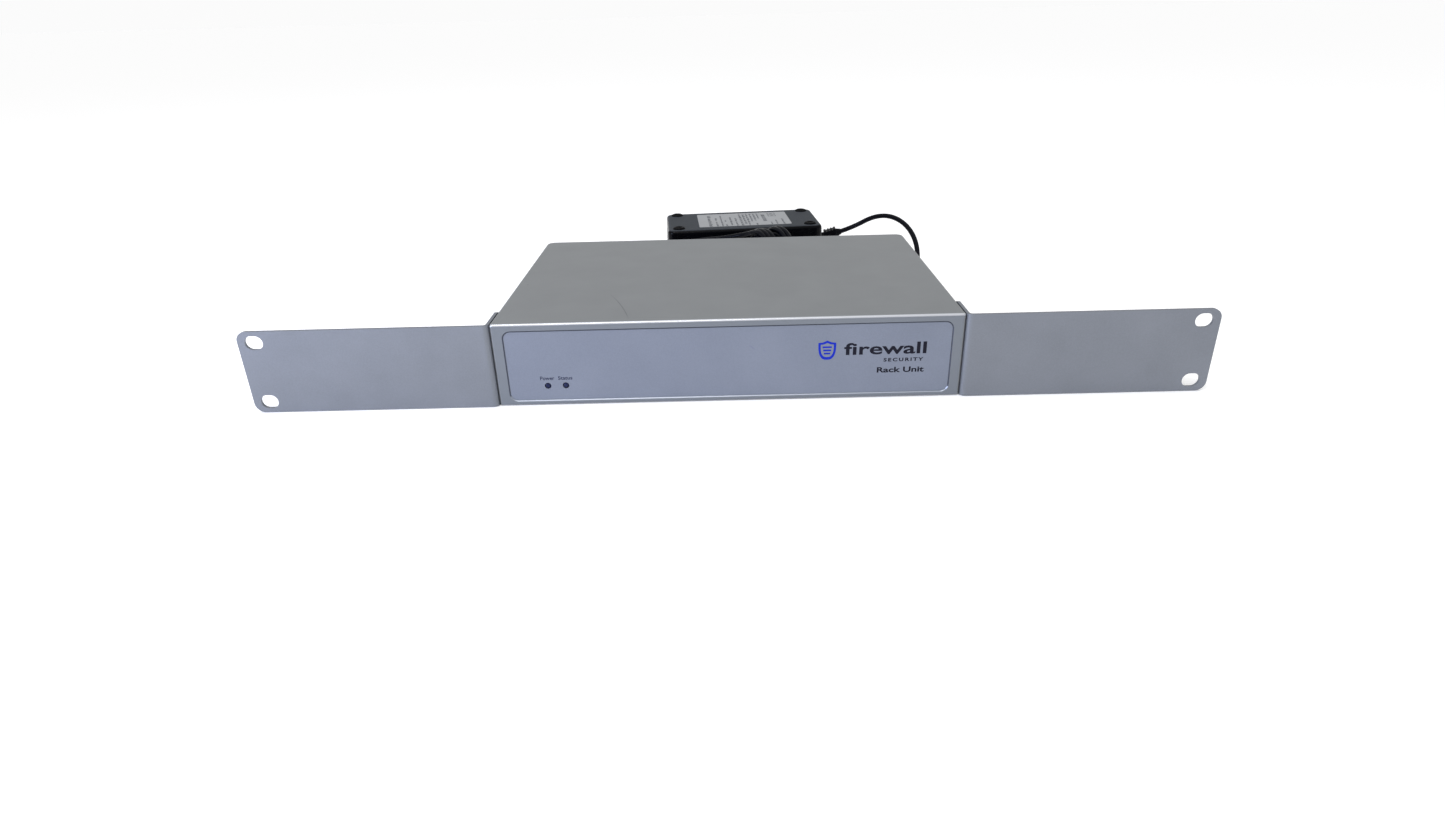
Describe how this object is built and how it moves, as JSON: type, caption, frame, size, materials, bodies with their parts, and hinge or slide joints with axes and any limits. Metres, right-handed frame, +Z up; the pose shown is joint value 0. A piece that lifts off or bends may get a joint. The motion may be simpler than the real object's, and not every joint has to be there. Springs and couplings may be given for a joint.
{
  "type": "firewall appliance",
  "caption": "Low silver rack-mount network firewall with side ears, front lamps, rear connectors, and a black external power supply with a coiled lead.",
  "frame": {"origin": "centre of the chassis's flat underside", "axes": "+X to the right seen from the front, +Y from the front panel to the rear, +Z up"},
  "size_m": [0.4826, 0.2877, 0.0437],
  "materials": {
    "silver_paint": "fine metallic silver powder coat, satin",
    "ear_paint": "the same silver paint on the rack ears",
    "label_film": "printed satin film, slightly bluer than the paint",
    "zinc_steel": "zinc-plated steel sheet, matt",
    "screw_steel": "nickel-plated steel",
    "board_green": "solder-masked glass epoxy",
    "chip_epoxy": "moulded epoxy chip packages",
    "anodised_black": "black anodised aluminium",
    "bright_aluminium": "plain aluminium cans and plates",
    "ferrite": "ferrite and varnish",
    "cell_steel": "polished steel coin cell",
    "lamp_lens": "dark tinted lamp lens",
    "connector_black": "black moulded connector plastic",
    "connector_nickel": "nickel-plated shell, satin",
    "contact_gold": "gold-plated contacts",
    "button_plastic": "moulded nylon button",
    "adapter_matte": "fine-textured dark grey face of the power supply",
    "adapter_gloss": "glossy black moulded shell",
    "foot_rubber": "black rubber feet",
    "sticker": "pale grey printed sticker",
    "lead_pvc": "soft black PVC lead",
    "relief_rubber": "moulded black flexible plastic",
    "winding": "varnished winding and tape"
  },
  "bodies": {
    "appliance": {"top_cover": "silver_paint", "base_pan": "zinc_steel", "rear_panel": "silver_paint", "front_label": "label_film", "rack_ear_left": "ear_paint", "rack_ear_right": "ear_paint", "ear_screws": "screw_steel", "cover_screws": "screw_steel", "clinch_nuts": "zinc_steel", "panel_rivets": "bright_aluminium", "main_board": "board_green", "board_standoffs": "zinc_steel", "board_screws": "screw_steel", "processor": "chip_epoxy", "heat_sink": "anodised_black", "memory_chips": "chip_epoxy", "flash_chip": "chip_epoxy", "network_chips": "chip_epoxy", "magnetics": "chip_epoxy", "crystals": "bright_aluminium", "capacitors": "bright_aluminium", "inductors": "ferrite", "coin_cell_holder": "connector_black", "coin_cell": "cell_steel", "power_led": "lamp_lens", "status_led": "lamp_lens", "led_holder": "connector_black", "lan_jack_shell": "connector_nickel", "lan_jack_insert": "connector_black", "wan_jack_shell": "connector_nickel", "wan_jack_insert": "connector_black", "jack_contacts": "contact_gold", "console_shell": "connector_nickel", "console_insert": "connector_black", "console_pins": "contact_gold", "console_posts": "connector_nickel", "dc_jack": "connector_black", "dc_jack_pin": "connector_nickel", "reset_switch": "connector_black"},
    "reset_button": {"reset_button": "button_plastic"},
    "power_supply": {"adapter_base": "adapter_matte", "adapter_cover": "adapter_gloss", "adapter_feet": "foot_rubber", "adapter_sticker": "sticker", "adapter_board": "board_green", "adapter_transformer": "winding", "adapter_capacitors": "ferrite", "adapter_heat_spreaders": "bright_aluminium", "ac_inlet": "connector_black", "ac_inlet_pins": "connector_nickel", "strain_relief": "relief_rubber", "lead_to_coil": "lead_pvc", "lead_to_plug": "lead_pvc", "lead_coil": "lead_pvc", "coil_tie": "relief_rubber", "plug_barrel": "connector_nickel", "plug_grip": "relief_rubber"}
  },
  "joints": [
    {"name": "reset_press", "type": "slide", "parent": "appliance", "child": "reset_button", "axis": [0, -1, 0], "range_m": [0, 0.0008], "stiffness_N_per_m": 300},
    {"name": "plug_pull", "type": "slide", "parent": "appliance", "child": "power_supply", "axis": [0, 1, 0], "range_m": [0, 0.02]}
  ]
}
